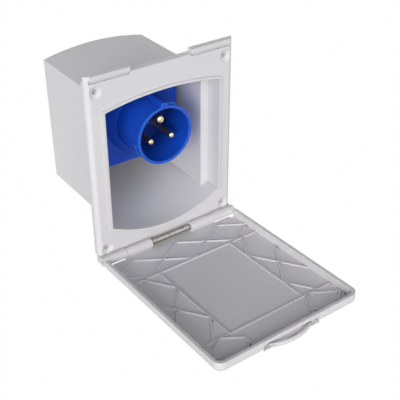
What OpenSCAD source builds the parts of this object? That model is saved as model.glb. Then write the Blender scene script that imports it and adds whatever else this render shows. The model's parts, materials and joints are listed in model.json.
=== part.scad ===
// Flush mains inlet socket with a sprung, bottom-hinged lid.
// The lid is drawn open. Millimetres, +Z up, the front is -Y.
// The origin is the centre of the four fixing screws, on the face that lies against the wall.

/* [Front plate] */
// Width of the front plate
plate_w = 132; // [128:1:150]
// Height of the front plate
plate_h = 156; // [152:1:170]
// Thickness of the front plate
plate_t = 6.5; // [5.5:0.5:8]
// Radius of the plate's corners, seen from the front
plate_corner_r = 5; // [4.5:0.5:8]
// Rounding of the plate's front edge
plate_edge_r = 4; // [2:0.5:4.5]
// Distance from a fixing screw to the plate's side edge
screw_inset_x = 7.9; // [7:0.1:9]
// Distance from a fixing screw to the plate's top or bottom edge
screw_inset_z = 9.2; // [9:0.1:11]
// Diameter of a fixing screw's hole
screw_hole_d = 4; // [3:0.1:5]
// Diameter of the dished recess round a fixing screw
screw_dish_d = 10.2; // [8:0.2:10.4]
// Depth of the dished recess
screw_dish_depth = 1.8; // [1:0.1:2.5]

/* [Opening] */
// Width of the plate beside the opening
frame_side = 13.6; // [13:0.1:17]
// Height of the plate above and below the middle of the opening
frame_end = 21.4; // [20:0.1:24]
// Rise of the arched top and bottom edges
arch_rise = 5.5; // [3:0.5:8]
// Width of the sealing rim round the opening
seal_rim_w = 2; // [1.5:0.1:2.4]
// Height of the sealing rim above the plate
seal_rim_h = 1.4; // [0.8:0.1:2]
// Depth from the plate's front to the ledge inside
collar_depth = 13.5; // [11:0.5:18]

/* [Rear box] */
// Width of the ledge between the opening's side and the rear box
ledge_w = 5; // [3.4:0.1:6.4]
// How far the rear box is taller than the opening, at the top and at the bottom
box_over = 3.6; // [2.4:0.1:5.4]
// Depth of the rear box behind the wall face
box_depth = 100.2; // [90:0.5:115]
// Wall thickness of the housing
wall = 3.2; // [2.4:0.1:3.4]

/* [Rain lips] */
// Clear width between the two lips on the top edge
lip_gap = 57; // [55:1:70]
// How far the lips stand in front of the plate
lip_reach = 3.2; // [2:0.2:5]
// How far the lips stand above the plate
lip_rise = 4.3; // [3:0.1:6]

/* [Lid] */
// How far the lid's sides lie inside the plate's
lid_inset = 0.1; // [0:0.1:2]
// How far the lid's free edge passes the plate's top edge
lid_over = 0.3; // [0:0.1:0.5]
// Depth of the lid, from its rim to its outer skin
lid_depth = 10.1; // [9.6:0.1:13]
// Thickness of the lid's rim
lid_wall = 2.5; // [1.8:0.1:3]
// Thickness of the lid's skin
lid_skin = 2.5; // [1.8:0.1:3]
// Corner radius of the lid
lid_corner_r = 7; // [6.5:0.5:12]
// Rounding of the lid's outer edge
lid_edge_r = 5.5; // [2:0.5:6]
// How far the lid stands above level when it rests open
lid_tilt = 2.3; // [0:0.1:5]
// Height of the ribs on the lid's floor
rib_h = 1.1; // [0.6:0.1:1.6]
// Width of the ribs
rib_w = 1.3; // [0.8:0.1:2]
// Distance from the lid's rim to the plain panel in its middle, at the sides
panel_side = 28.4; // [24:0.2:32]
// Distance from the hinge to the plain panel
panel_start = 36; // [32:1:42]
// Distance from the plain panel to the lid's free edge
panel_end_gap = 28; // [25:0.5:33]
// Spacing of the lattice's crossings along the hinge
lattice_pitch = 43; // [38:1:48]
// Width of the finger pull's recess
pull_w = 52; // [40:1:54]
// Width of the finger tab at the free edge
tab_w = 31; // [24:1:34]
// How far the finger tab stands out from the free edge
pull_reach = 2.8; // [2:0.2:6]

/* [Hinge] */
// Distance from the plate's front to the hinge axis
hinge_out = 4.3; // [4.2:0.1:5]
// Height of the hinge axis above the plate's bottom edge
hinge_up = 1.3; // [0.5:0.1:3]
// Outer radius of the knuckles
knuckle_r = 4; // [3.4:0.1:4]
// Length of each outer knuckle on the plate
fixed_knuckle_l = 21.8; // [18:0.2:26]
// Width of the gap between the lid's two knuckles
spring_gap = 39.6; // [30:0.2:46]
// Diameter of the hinge pin
pin_d = 2.6; // [2:0.1:3]
// How far the pin's ends lie inside the outer knuckles
pin_recess = 2.5; // [0.5:0.5:6]
// Wire diameter of the torsion spring
wire_d = 1.1; // [0.8:0.1:1.2]

/* [Inlet] */
// Distance from the plate's front to the flange of the inlet
inlet_depth = 40.4; // [34:0.2:46]
// Gap between the flange's side edges and the box
flange_side_gap = 5.7; // [5:0.1:8]
// Gap between the flange's top edge and the middle of the box's roof
flange_top_gap = 3.9; // [3.8:0.1:8]
// Height of the flange
flange_h = 75; // [72:0.5:78]
// How far the flange's middle lies below the shroud's axis
flange_drop = 1; // [0.5:0.1:2]
// Thickness of the flange
flange_t = 4; // [3:0.5:5]
// Corner radius of the flange
flange_corner_r = 6; // [5:0.5:9]
// Outer diameter of the shroud
shroud_d = 50; // [49:0.2:52]
// Wall thickness of the shroud
shroud_wall = 2.25; // [1.6:0.05:2.6]
// How far the shroud's rim stands in front of the plate
shroud_proud = 0.4; // [0:0.1:3]
// Diameter of the flared foot where the shroud meets the flange
foot_d = 62; // [56:1:66]
// Length of the flared foot
foot_l = 9; // [5:0.5:14]
// Distance from a flange screw to the flange's two edges
flange_screw_inset = 4.5; // [4:0.1:5]

/* [Contacts] */
// Diameter of the circle on which the contact pins stand
pin_circle_d = 22.6; // [20:0.2:25]
// Diameter of the earth pin
earth_d = 7; // [6:0.1:8]
// Diameter of the line and neutral pins
live_d = 5; // [4:0.1:6]
// Distance from the shroud's rim to the tips of the pins
tip_inset = 4.6; // [3:0.2:8]
// Diameter of the terminal barrel behind each pin
barrel_d = 8.6; // [8.2:0.1:9.2]
// Length of the terminal barrel
barrel_l = 16; // [13:0.5:20]
// Diameter of the hole for the wire
wire_hole_d = 4.2; // [3.4:0.1:5]
// Diameter of a terminal screw
terminal_d = 3.5; // [3:0.1:4]

/* [Cable gland] */
// Height of the gland's axis above the box's floor
gland_up = 29; // [26:0.5:33]
// Thread diameter of the gland
gland_d = 20; // [18:0.5:22]
// Size of the gland's hexagons, across the flats
gland_af = 24; // [23:0.5:27]
// Diameter of the hole for the cable in the rubber seal
cable_d = 10.4; // [8:0.2:11]

/* [Hidden] */
$fn = 64;
// A little extra length, so that cuts pass clean through
eps = 0.5;

// Clearances: the shut lid's rim to the plate, its free edge to the rain lips, the knuckles' ends,
// the turning pin, seated pieces, the spring's leg in its hole and its coil on the pin
lid_gap = 1;
lip_clear = 0.4;
knuckle_gap = 0.35;
running = 0.05;
seated = 0.05;
leg_gap = 0.15;
coil_gap = 0.15;
turn_gap = 0.06;
dish_gap = 0.2;
screw_play = 0.25;

// Places along Y of the housing
face_y = -plate_t;
ledge_y = face_y + collar_depth;
box_back_y = box_depth;
box_inner_y = box_back_y - wall;
screw_pitch_x = plate_w - 2 * screw_inset_x;
screw_pitch_z = plate_h - 2 * screw_inset_z;
opening_w = plate_w - 2 * frame_side;
opening_h = plate_h - 2 * frame_end;
box_w = opening_w - 2 * ledge_w;
box_h = opening_h + 2 * box_over;
// The opening's and the box's arches are circles of these radii
opening_arch_r = arch_radius(opening_w, arch_rise);
box_arch_r = arch_radius(box_w, arch_rise);
collar_w = opening_w + 2 * wall;
collar_h = opening_h + 2 * wall;
collar_arch_r = opening_arch_r + wall;
cavity_w = box_w - 2 * wall;
cavity_h = box_h - 2 * wall;

// Hinge
hinge_y = face_y - hinge_out;
hinge_z = -plate_h / 2 + hinge_up;
rim_up = hinge_out - lid_gap;
skin_down = lid_depth - rim_up;
floor_up = lid_skin - skin_down;
lid_w = plate_w - 2 * lid_inset;
lid_l = plate_h - hinge_up + lid_over;
fixed_inner_x = plate_w / 2 - fixed_knuckle_l;
lid_knuckle_x0 = spring_gap / 2;
lid_knuckle_x1 = fixed_inner_x - knuckle_gap;
// The lid's rim starts this far from the axis, its floor nearer, and its skin runs on behind the axis
slot_gap = 1.2;
slot_u = knuckle_r + slot_gap;
floor_edge = 2.5;
skin_back = 3;
stem_u = 2.6;
pin_l = plate_w - 2 * pin_recess;
// The web of an outer knuckle ends below the dish of the fixing screw
web_z = min(hinge_z + knuckle_r, -screw_pitch_z / 2 - screw_dish_d / 2 - dish_gap);

// Spring: a helix on the pin, with one leg in a hole of the lid's left knuckle
// and the other under the plate's bottom edge
coil_r = pin_d / 2 + wire_d / 2 + coil_gap;
coil_steps = 10;
coil_l = spring_gap - 2 * knuckle_gap - wire_d;
coil_turns = floor(coil_l / (wire_d + turn_gap));
leg_out = 2.2;
leg_bend_r = 1;
leg_in = 4;
leg_past = 1;
plate_leg_l = hinge_out + plate_edge_r + leg_past;

// Lattice on the lid's floor
panel_end = lid_l - panel_end_gap;
lid_in_w = lid_w - 2 * lid_wall;
panel_w = lid_in_w - 2 * panel_side;
hinge_strip = 8.2;
side_cells = 2;
side_pitch = (panel_end - panel_start) / side_cells;
rib_past = 1.6;
side_reach = panel_side + rib_past;
front_reach = panel_start - hinge_strip;
stop_gap = 2.5;
stop_x = pull_w / 2 + stop_gap;

// Finger pull: a recess under the lid's free edge, with a shelf that carries the tab
recess_h = 4;
recess_depth = 2.2;
recess_wall = 1.4;
shelf_drop = 0.4;
shelf_up = floor_up - shelf_drop;
tab_edge_w = 1.6;
tab_edge_h = 1.3;

// Inlet
flange_y = face_y + inlet_depth;
flange_back_y = flange_y + flange_t;
flange_w = cavity_w - 2 * flange_side_gap;
flange_z = cavity_h / 2 - flange_top_gap - flange_h / 2;
inlet_up = flange_z + flange_drop;
flange_screw_x = flange_w / 2 - flange_screw_inset;
flange_screw_z = flange_h / 2 - flange_screw_inset;
rim_y = face_y - shroud_proud;
web_t = 3;
web_ahead = 4;
web_y = flange_y - web_ahead;
carrier_y = web_y + web_t;
carrier_t = 14;
skirt_step = 0.75;
skirt_wall = shroud_wall + skirt_step;
skirt_over = 4;
carrier_d = shroud_d - 2 * skirt_wall;
skirt_back_y = carrier_y + carrier_t + skirt_over;
barrel_seat = 4;
shank_step = 0.2;
barrel_y = carrier_y + carrier_t - barrel_seat;
tip_y = rim_y + tip_inset;
pillar_d = 8.6;
pillar_web_t = 2;
pilot_d = 3.1;
pilot_l = 18;
pilot_past = 2;
contact_angles = [0, 120, -120];
// Locking cams: the first stands this many degrees clockwise of the key, seen from the front
cam_angle = 15;
cam_span = 22;
cam_inset = 2;
cam_w = 3;
cam_rise = 1.4;

// Gland, measured outwards from the back wall
gland_z = gland_up - cavity_h / 2;
washer_t = 1.5;
hex_t = 6;
bore_step = 1;
stem_past = 3;
hex_y = box_back_y + washer_t;
neck_l = 12;
neck_step = 0.5;
neck_d = gland_d - 2 * neck_step;
neck_y = hex_y + hex_t;
gland_wall = 2.4;
seal_l = 9;
seal_d = neck_d - 2 * gland_wall;
locknut_t = 5;
cap_gap = 0.6;
cap_over = 4;
cap_l = neck_l + cap_over;

// Radius of the arc over a chord of width w that rises by r
function arch_radius(w, r) = (w * w / 4 + r * r) / (2 * r);

// Straight sides, with an arched top and bottom; h is the height at the middle
module arched(w, h, r) {
    intersection() {
        square([w, h], center = true);
        translate([0, h / 2 - r]) circle(r, $fn = 180);
        translate([0, r - h / 2]) circle(r, $fn = 180);
    }
}

// A rectangle with round corners, made of arcs
module rounded(w, h, r) {
    square([w - 2 * r, h], center = true);
    square([w, h - 2 * r], center = true);
    for (sx = [-1, 1], sy = [-1, 1])
        translate([sx * (w / 2 - r), sy * (h / 2 - r)]) circle(r);
}

// A quarter of a disc, for rounding an edge
module quarter(r) {
    intersection() {
        circle(r);
        square(r);
    }
}

// A slab on z = 0 whose upper edge is rounded by e, with corners of radius r
module soft_slab(w, h, t, r, e) {
    linear_extrude(t - e) rounded(w, h, r);
    translate([0, 0, t - e - eps]) linear_extrude(e + eps) rounded(w - 2 * e, h - 2 * e, r - e);
    for (side = [0, 180]) {
        rotate([0, 0, side]) translate([w / 2 - e, h / 2 - r, t - e])
            rotate([90, 0, 0]) linear_extrude(h - 2 * r) quarter(e);
        rotate([0, 0, side]) translate([r - w / 2, h / 2 - e, t - e])
            rotate([90, 0, 90]) linear_extrude(w - 2 * r) quarter(e);
    }
    for (sx = [0, 1], sy = [0, 1])
        mirror([sx, 0, 0]) mirror([0, sy, 0]) translate([w / 2 - r, h / 2 - r, t - e])
            rotate_extrude(angle = 90) {
                square([r - e, e]);
                translate([r - e, 0]) quarter(e);
            }
}

// Extrudes a front-view outline from y0 back to y1
module deep(y0, y1) {
    translate([0, y1, 0]) rotate([90, 0, 0]) linear_extrude(y1 - y0) children();
}

// A round bar along Y, from y0 back to y1, at x and z
module bar_y(x, z, y0, y1, d) {
    translate([x, y1, z]) rotate([90, 0, 0]) cylinder(h = y1 - y0, d = d);
}

// A round bar along X, from x0 to x1, on the hinge axis
module bar_x(x0, x1, d) {
    translate([x0, hinge_y, hinge_z]) rotate([0, 90, 0]) cylinder(h = x1 - x0, d = d);
}

// Puts its children at the four fixing screws of the plate
module at_screws() {
    for (sx = [-1, 1], sz = [-1, 1])
        translate([sx * screw_pitch_x / 2, 0, sz * screw_pitch_z / 2]) children();
}

// The dished recess and the hole of one fixing screw
module screw_recess() {
    ball_r = arch_radius(screw_dish_d, screw_dish_depth);
    intersection() {
        translate([0, face_y - ball_r + screw_dish_depth, 0]) sphere(ball_r);
        bar_y(0, 0, face_y - eps, eps, screw_dish_d);
    }
    bar_y(0, 0, face_y - eps, eps, screw_hole_d);
}

// One rain lip on the top edge; side is -1 or 1
module rain_lip(side) {
    lip_l = (plate_w - lip_gap) / 2;
    lip_z = hinge_z + lid_l + lip_clear;
    top_z = plate_h / 2 + lip_rise;
    root_z = plate_h / 2 - plate_edge_r;
    x0 = side > 0 ? lip_gap / 2 : -plate_w / 2;
    translate([x0, face_y - lip_reach, lip_z]) cube([lip_l, lip_reach + plate_edge_r, top_z - lip_z]);
    translate([x0, face_y, root_z]) cube([lip_l, plate_edge_r, top_z - root_z]);
}

// One outer knuckle with the web that carries it; side is -1 or 1
module fixed_knuckle(side) {
    x0 = side > 0 ? fixed_inner_x : -plate_w / 2;
    bar_x(x0, x0 + fixed_knuckle_l, 2 * knuckle_r);
    translate([x0, hinge_y, hinge_z - knuckle_r])
        cube([fixed_knuckle_l, hinge_out + plate_edge_r, web_z - hinge_z + knuckle_r]);
}

// The plate's bottom edge is square between the outer knuckles, close behind the spring
module hinge_sill() {
    translate([-fixed_inner_x - eps, face_y, -plate_h / 2])
        cube([2 * fixed_inner_x + 2 * eps, plate_edge_r, plate_edge_r]);
}

// One pillar for a flange screw, with the web that ties it to the side wall
module pillar(sx, sz) {
    x = sx * flange_screw_x;
    z = flange_z + sz * flange_screw_z;
    web_y0 = flange_back_y + pillar_d;
    web_l = cavity_w / 2 - flange_screw_x + eps;
    bar_y(x, z, flange_back_y, box_inner_y + eps, pillar_d);
    translate([sx > 0 ? x : x - web_l, web_y0, z - pillar_web_t / 2])
        cube([web_l, box_inner_y + eps - web_y0, pillar_web_t]);
}

module housing() {
    color("gainsboro") difference() {
        union() {
            difference() {
                union() {
                    rotate([90, 0, 0]) soft_slab(plate_w, plate_h, plate_t, plate_corner_r, plate_edge_r);
                    deep(face_y - seal_rim_h, face_y + eps)
                        arched(opening_w + 2 * seal_rim_w, opening_h + 2 * seal_rim_w,
                               opening_arch_r + seal_rim_w);
                    deep(-eps, ledge_y + wall) arched(collar_w, collar_h, collar_arch_r);
                    deep(ledge_y, box_back_y) arched(box_w, box_h, box_arch_r);
                    hinge_sill();
                    for (side = [-1, 1]) {
                        rain_lip(side);
                        fixed_knuckle(side);
                    }
                }
                deep(face_y - seal_rim_h - eps, ledge_y) arched(opening_w, opening_h, opening_arch_r);
                deep(ledge_y - eps, box_inner_y) arched(cavity_w, cavity_h, box_arch_r - wall);
            }
            for (sx = [-1, 1], sz = [-1, 1])
                pillar(sx, sz);
        }
        at_screws() screw_recess();
        bar_x(-plate_w / 2 - eps, plate_w / 2 + eps, pin_d + 2 * running);
        bar_y(0, gland_z, box_inner_y - eps, box_back_y + eps, gland_d + 2 * seated);
        for (sx = [-1, 1], sz = [-1, 1])
            bar_y(sx * flange_screw_x, flange_z + sz * flange_screw_z,
                  flange_back_y - eps, flange_back_y + pilot_l, pilot_d);
    }
}

// Places the lid, drawn flat with its hinge axis on X and its free edge at +y, as it rests open
module as_opened() {
    translate([0, hinge_y, hinge_z]) rotate([-lid_tilt, 0, 0]) rotate([0, 0, 180]) children();
}

// One straight rib from p to q on the floor
module rib(p, q) {
    run = q - p;
    translate(p) rotate(atan2(run[1], run[0])) translate([0, -rib_w / 2]) square([norm(run), rib_w]);
}

// A box between two corners, for keeping a stretch of lattice in its strip
module strip(x0, x1, y0, y1) {
    translate([x0, y0]) square([x1 - x0, y1 - y0]);
}

// The rib pattern, seen from above: a plain panel framed by strips of crossing ribs
module lattice() {
    half = lid_in_w / 2 + lid_wall / 2;
    side_x = panel_w / 2;
    front_end = lid_l - lid_wall / 2;
    // frame of the panel
    rib([-half, panel_start], [half, panel_start]);
    rib([-half, panel_end], [half, panel_end]);
    for (side = [-1, 1])
        rib([side * side_x, panel_start], [side * side_x, panel_end]);
    // strip along the hinge
    intersection() {
        strip(-half, half, hinge_strip, panel_start);
        for (i = [-2 : 2], way = [-1, 1])
            rib([i * lattice_pitch, hinge_strip], [(i + way) * lattice_pitch, panel_start]);
    }
    // strips along the sides
    for (side = [-1, 1])
        intersection() {
            strip(side > 0 ? side_x : -half, side > 0 ? half : -side_x, panel_start, panel_end);
            for (i = [0 : side_cells - 1], way = [-1, 1]) {
                start = panel_start + (i + 0.5) * side_pitch;
                rib([side * side_x, start], [side * (side_x + side_reach), start + way * side_pitch]);
            }
        }
    // corners at the free edge, each side of the finger pull
    for (side = [-1, 1]) {
        intersection() {
            strip(side > 0 ? stop_x : -half, side > 0 ? half : -stop_x, panel_end, front_end);
            for (way = [-1, 1]) {
                near = [side * lattice_pitch, panel_end];
                far = [side * lattice_pitch, panel_end + front_reach];
                rib(near, near + [way * lattice_pitch, front_reach]);
                rib(far, far + [way * lattice_pitch, -front_reach]);
            }
        }
        rib([side * stop_x, panel_end + front_reach / 3], [side * stop_x, front_end]);
    }
}

// The tray of the lid: rim, skin and ribs
module lid_tray() {
    over = lid_corner_r + lid_edge_r;
    in_r = lid_corner_r - lid_wall;
    intersection() {
        difference() {
            translate([0, (lid_l - over) / 2, rim_up]) mirror([0, 0, 1])
                soft_slab(lid_w, lid_l + over, lid_depth, lid_corner_r, lid_edge_r);
            translate([0, (lid_l - over) / 2, floor_up])
                linear_extrude(lid_depth) rounded(lid_in_w, lid_l + over - 2 * lid_wall, in_r);
        }
        translate([-lid_w, slot_u, -lid_depth]) cube([2 * lid_w, 2 * lid_l, 2 * lid_depth]);
    }
    translate([0, 0, floor_up - eps]) linear_extrude(rib_h + eps) lattice();
}

// One of the lid's knuckles, with the stem that carries it
module lid_knuckle(side) {
    knuckle_l = lid_knuckle_x1 - lid_knuckle_x0;
    x0 = side > 0 ? lid_knuckle_x0 : -lid_knuckle_x1;
    translate([x0, 0, 0]) rotate([90, 0, 90]) linear_extrude(knuckle_l) {
        circle(knuckle_r);
        translate([-skin_back, -skin_down]) square([skin_back + stem_u, skin_down]);
    }
}

// The skin under the hinge: it runs on behind the spring, and leaves a slot at the outer knuckles
module hinge_skin() {
    flat_w = lid_w - 2 * lid_edge_r;
    translate([-lid_knuckle_x1, -skin_back, -skin_down])
        cube([2 * lid_knuckle_x1, skin_back + slot_u + eps, lid_skin]);
    translate([-flat_w / 2, floor_edge, -skin_down]) cube([flat_w, slot_u + eps - floor_edge, lid_skin]);
}

// Thickens the rim from inside, where the recess of the finger pull is cut into it
module recess_back() {
    back_u = lid_l - recess_depth - recess_wall;
    translate([-stop_x, back_u, floor_up - eps])
        cube([2 * stop_x, lid_l - lid_wall / 2 - back_u, recess_h + recess_wall]);
}

// The half-moon tab on the shelf, with a raised edge
module finger_pull() {
    tab_r = arch_radius(tab_w, pull_reach);
    tab_u = lid_l + pull_reach - tab_r;
    tab_t = shelf_up + skin_down;
    root_u = lid_l - recess_depth - recess_wall / 2;
    intersection() {
        translate([0, tab_u, -skin_down]) {
            cylinder(h = tab_t, r = tab_r, $fn = 128);
            difference() {
                cylinder(h = tab_t + tab_edge_h, r = tab_r, $fn = 128);
                translate([0, 0, -eps]) cylinder(h = lid_depth, r = tab_r - tab_edge_w, $fn = 128);
            }
        }
        translate([-pull_w / 2, root_u, -lid_depth]) cube([pull_w, pull_w, 2 * lid_depth]);
    }
}

module lid() {
    color("gainsboro") as_opened() difference() {
        union() {
            difference() {
                union() {
                    lid_tray();
                    recess_back();
                }
                translate([-pull_w / 2, lid_l - recess_depth, shelf_up]) cube([pull_w, lid_depth, recess_h]);
            }
            hinge_skin();
            for (side = [-1, 1])
                lid_knuckle(side);
            finger_pull();
        }
        translate([-lid_w, 0, 0]) rotate([0, 90, 0]) cylinder(h = 2 * lid_w, d = pin_d + 2 * running);
        translate([lid_knuckle_x0 - eps, leg_out, -coil_r]) rotate([0, 90, 0])
            cylinder(h = leg_in + 3 * eps, d = wire_d + 2 * leg_gap);
    }
}

module hinge_pin() {
    color("dimgray") bar_x(-pin_l / 2, pin_l / 2, pin_d);
}

// One step of the spring's coil: a point on the wire's centre line, and the way out from the axis
function coil_step(i) =
    let (
        part = i / (coil_turns * coil_steps),
        a = -90 - lid_tilt + part * (360 * coil_turns + lid_tilt),
        way = [0, cos(a), sin(a)]
    )
    [[coil_l * (part - 0.5), 0, 0] + coil_r * way, way];

// The leg in the lid's knuckle, listed from its tip: along X, round a bend, then back to the coil
function lid_leg() =
    let (
        way = [0, -sin(lid_tilt), -cos(lid_tilt)],
        run = [0, -cos(lid_tilt), sin(lid_tilt)],
        root = [-coil_l / 2, 0, 0] + coil_r * way,
        bend = root + (leg_out - leg_bend_r) * run + [-leg_bend_r, 0, 0]
    )
    concat(
        [[bend + leg_bend_r * run + [-leg_in, 0, 0], way]],
        [for (a = [0 : 30 : 90]) [bend + leg_bend_r * (cos(a) * run + sin(a) * [1, 0, 0]), way]]
    );

// The leg under the plate's bottom edge
function plate_leg() = [[[coil_l / 2, plate_leg_l, -coil_r], [0, 0, -1]]];

function spring_path() = concat(
    lid_leg(),
    [for (i = [0 : coil_turns * coil_steps]) coil_step(i)],
    plate_leg()
);

// Sweeps a ring of n points of radius r along a path of points and outward ways
module sweep(path, r, n) {
    last = len(path) - 1;
    rings = [for (i = [0 : last])
        let (
            ahead = path[min(i + 1, last)][0] - path[max(i - 1, 0)][0],
            t = ahead / norm(ahead),
            u = path[i][1],
            v = cross(t, u)
        )
        [for (k = [0 : n - 1]) path[i][0] + r * (cos(360 * k / n) * u + sin(360 * k / n) * v)]];
    points = [for (ring = rings) each ring];
    sides = [for (i = [0 : last - 1], k = [0 : n - 1])
        let (a = i * n + k, b = i * n + (k + 1) % n)
        each [[a, a + n, b + n], [a, b + n, b]]];
    start_cap = [for (k = [1 : n - 2]) [0, k, k + 1]];
    end_cap = [for (k = [1 : n - 2]) [last * n, last * n + k + 1, last * n + k]];
    polyhedron(points, concat(sides, start_cap, end_cap));
}

module lid_spring() {
    color("dimgray") translate([0, hinge_y, hinge_z]) sweep(spring_path(), wire_d / 2, 6);
}

// Moves its children from the origin to the inlet's axis and turns them to a contact's place
module at_contact(i) {
    translate([0, 0, inlet_up]) rotate([0, contact_angles[i], 0]) translate([0, 0, pin_circle_d / 2])
        children();
}

// Diameter of contact i: the earth pin is the thick one
function contact_d(i) = i == 0 ? earth_d : live_d;
// Diameter of its shank, in the shroud's floor and the carrier
function shank_d(i) = contact_d(i) + 2 * shank_step;

// A low cam round the outside of the shroud, near its rim, for the plug's locking ring
module locking_cam(angle) {
    root_r = shroud_d / 2 - shroud_wall / 2;
    translate([0, rim_y + cam_inset + cam_w, inlet_up]) rotate([90, 0, 0])
        rotate([0, 0, 90 - angle - cam_span / 2]) rotate_extrude(angle = cam_span)
            translate([root_r, 0]) square([shroud_d / 2 + cam_rise - root_r, cam_w]);
}

module inlet_body() {
    bore_d = shroud_d - 2 * shroud_wall;
    key_w = 6.4;
    key_rise = 2.8;
    color("royalblue") difference() {
        union() {
            translate([0, 0, flange_z]) deep(flange_y, flange_back_y)
                rounded(flange_w, flange_h, flange_corner_r);
            bar_y(0, inlet_up, rim_y, skirt_back_y, shroud_d);
            translate([0, flange_y + eps, inlet_up]) rotate([90, 0, 0])
                cylinder(h = foot_l + eps, d1 = foot_d, d2 = shroud_d);
            translate([0, 0, inlet_up + shroud_d / 2 + key_rise - key_w / 2])
                bar_y(0, 0, rim_y, flange_y + eps, key_w);
            for (turn = [0 : 120 : 240])
                locking_cam(cam_angle + turn);
        }
        bar_y(0, inlet_up, rim_y - eps, web_y, bore_d);
        bar_y(0, inlet_up, carrier_y, skirt_back_y + eps, carrier_d + 2 * seated);
        for (i = [0 : 2])
            at_contact(i) bar_y(0, 0, web_y - eps, carrier_y + eps, shank_d(i) + 4 * seated);
        for (sx = [-1, 1], sz = [-1, 1])
            bar_y(sx * flange_screw_x, flange_z + sz * flange_screw_z,
                  flange_y - eps, flange_back_y + eps, pilot_d + 2 * screw_play);
    }
}

module contact_carrier() {
    color("dimgray") difference() {
        bar_y(0, inlet_up, carrier_y, carrier_y + carrier_t, carrier_d);
        for (i = [0 : 2])
            at_contact(i) {
                bar_y(0, 0, carrier_y - eps, carrier_y + carrier_t, shank_d(i) + 2 * seated);
                bar_y(0, 0, barrel_y, carrier_y + carrier_t + eps, barrel_d + 2 * seated);
            }
    }
}

// One contact: a round-nosed pin with a drilled terminal barrel behind it
module contact(i) {
    r = contact_d(i) / 2;
    nose = 0.75 * r;
    barrel_back = barrel_y + barrel_l;
    color("goldenrod") at_contact(i) difference() {
        union() {
            translate([0, barrel_back, 0]) rotate([90, 0, 0]) rotate_extrude() {
                square([barrel_d / 2, barrel_l]);
                square([r + shank_step, barrel_back - web_y]);
                square([r, barrel_back - tip_y - nose]);
                square([r - nose, barrel_back - tip_y]);
                translate([r - nose, barrel_back - tip_y - nose]) quarter(nose);
            }
        }
        bar_y(0, 0, barrel_back - 0.7 * barrel_l, barrel_back + eps, wire_hole_d);
        translate([0, barrel_back - terminal_d, 0]) cylinder(h = barrel_d, d = terminal_d + 2 * seated);
    }
}

// The slotted screw that clamps the wire in contact i
module terminal_screw(i) {
    stem_z = 0.5;
    head_t = 1.8;
    head_over = 1;
    head_gap = 0.2;
    slot_w = 0.8;
    screw_y = barrel_y + barrel_l - terminal_d;
    head_z = barrel_d / 2 + head_gap;
    color("silver") at_contact(i) translate([0, screw_y, 0]) difference() {
        union() {
            translate([0, 0, stem_z]) cylinder(h = head_z - stem_z, d = terminal_d);
            translate([0, 0, head_z]) cylinder(h = head_t, d = terminal_d + 2 * head_over);
        }
        translate([-terminal_d, -slot_w / 2, head_z + head_t / 2]) cube([2 * terminal_d, slot_w, head_t]);
    }
}

// A cross-recessed screw that holds the flange to its pillar
module inlet_screw(sx, sz) {
    head_d = 6;
    head_t = 2.2;
    cross_w = 1;
    cross_l = 3.4;
    cross_t = 1.2;
    shank_d = pilot_d - 2 * seated;
    x = sx * flange_screw_x;
    z = flange_z + sz * flange_screw_z;
    color("silver") difference() {
        union() {
            bar_y(x, z, flange_y - head_t, flange_y, head_d);
            bar_y(x, z, flange_y - eps, flange_back_y + pilot_l - pilot_past, shank_d);
        }
        for (turn = [0, 90])
            translate([x, flange_y - head_t, z]) rotate([0, turn, 0])
                cube([cross_l, 2 * cross_t, cross_w], center = true);
    }
}

// A hexagonal prism along Y, from y0 back to y1, on the gland's axis
module gland_hex(y0, y1) {
    translate([0, y1, gland_z]) rotate([90, 0, 0])
        cylinder(h = y1 - y0, d = gland_af / cos(30), $fn = 6);
}

module gland_washer() {
    color("dimgray") difference() {
        bar_y(0, gland_z, box_back_y, hex_y, gland_af);
        bar_y(0, gland_z, box_back_y - eps, hex_y + eps, gland_d + 2 * seated);
    }
}

module gland_body() {
    stem_y = box_inner_y - locknut_t - stem_past;
    color("whitesmoke") difference() {
        union() {
            bar_y(0, gland_z, stem_y, hex_y + eps, gland_d);
            gland_hex(hex_y, neck_y);
            bar_y(0, gland_z, neck_y - eps, neck_y + neck_l, neck_d);
        }
        bar_y(0, gland_z, stem_y - eps, neck_y + neck_l + eps, cable_d + 2 * bore_step);
        bar_y(0, gland_z, neck_y + neck_l - seal_l, neck_y + neck_l + eps, seal_d + 2 * seated);
    }
}

module gland_locknut() {
    color("whitesmoke") difference() {
        gland_hex(box_inner_y - locknut_t, box_inner_y);
        bar_y(0, gland_z, box_inner_y - locknut_t - eps, box_inner_y + eps, gland_d + 2 * seated);
    }
}

module gland_seal() {
    seal_y = neck_y + neck_l - seal_l;
    color("dimgray") difference() {
        bar_y(0, gland_z, seal_y, seal_y + seal_l, seal_d);
        bar_y(0, gland_z, seal_y - eps, seal_y + seal_l + eps, cable_d);
    }
}

module gland_cap() {
    cap_y = neck_y + cap_gap;
    cap_end = cap_y + cap_l;
    inner_end = neck_y + neck_l + seated;
    dome = 3;
    color("whitesmoke") difference() {
        union() {
            gland_hex(cap_y, cap_end - 2 * dome);
            bar_y(0, gland_z, cap_end - 2 * dome - eps, cap_end - dome, gland_af);
            translate([0, cap_end - dome, gland_z]) rotate([-90, 0, 0]) rotate_extrude() {
                square([gland_af / 2 - dome, dome]);
                translate([gland_af / 2 - dome, 0]) quarter(dome);
            }
        }
        bar_y(0, gland_z, cap_y - eps, inner_end, neck_d + 2 * seated);
        bar_y(0, gland_z, inner_end - eps, cap_end + eps, cable_d + 2 * bore_step);
    }
}

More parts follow.
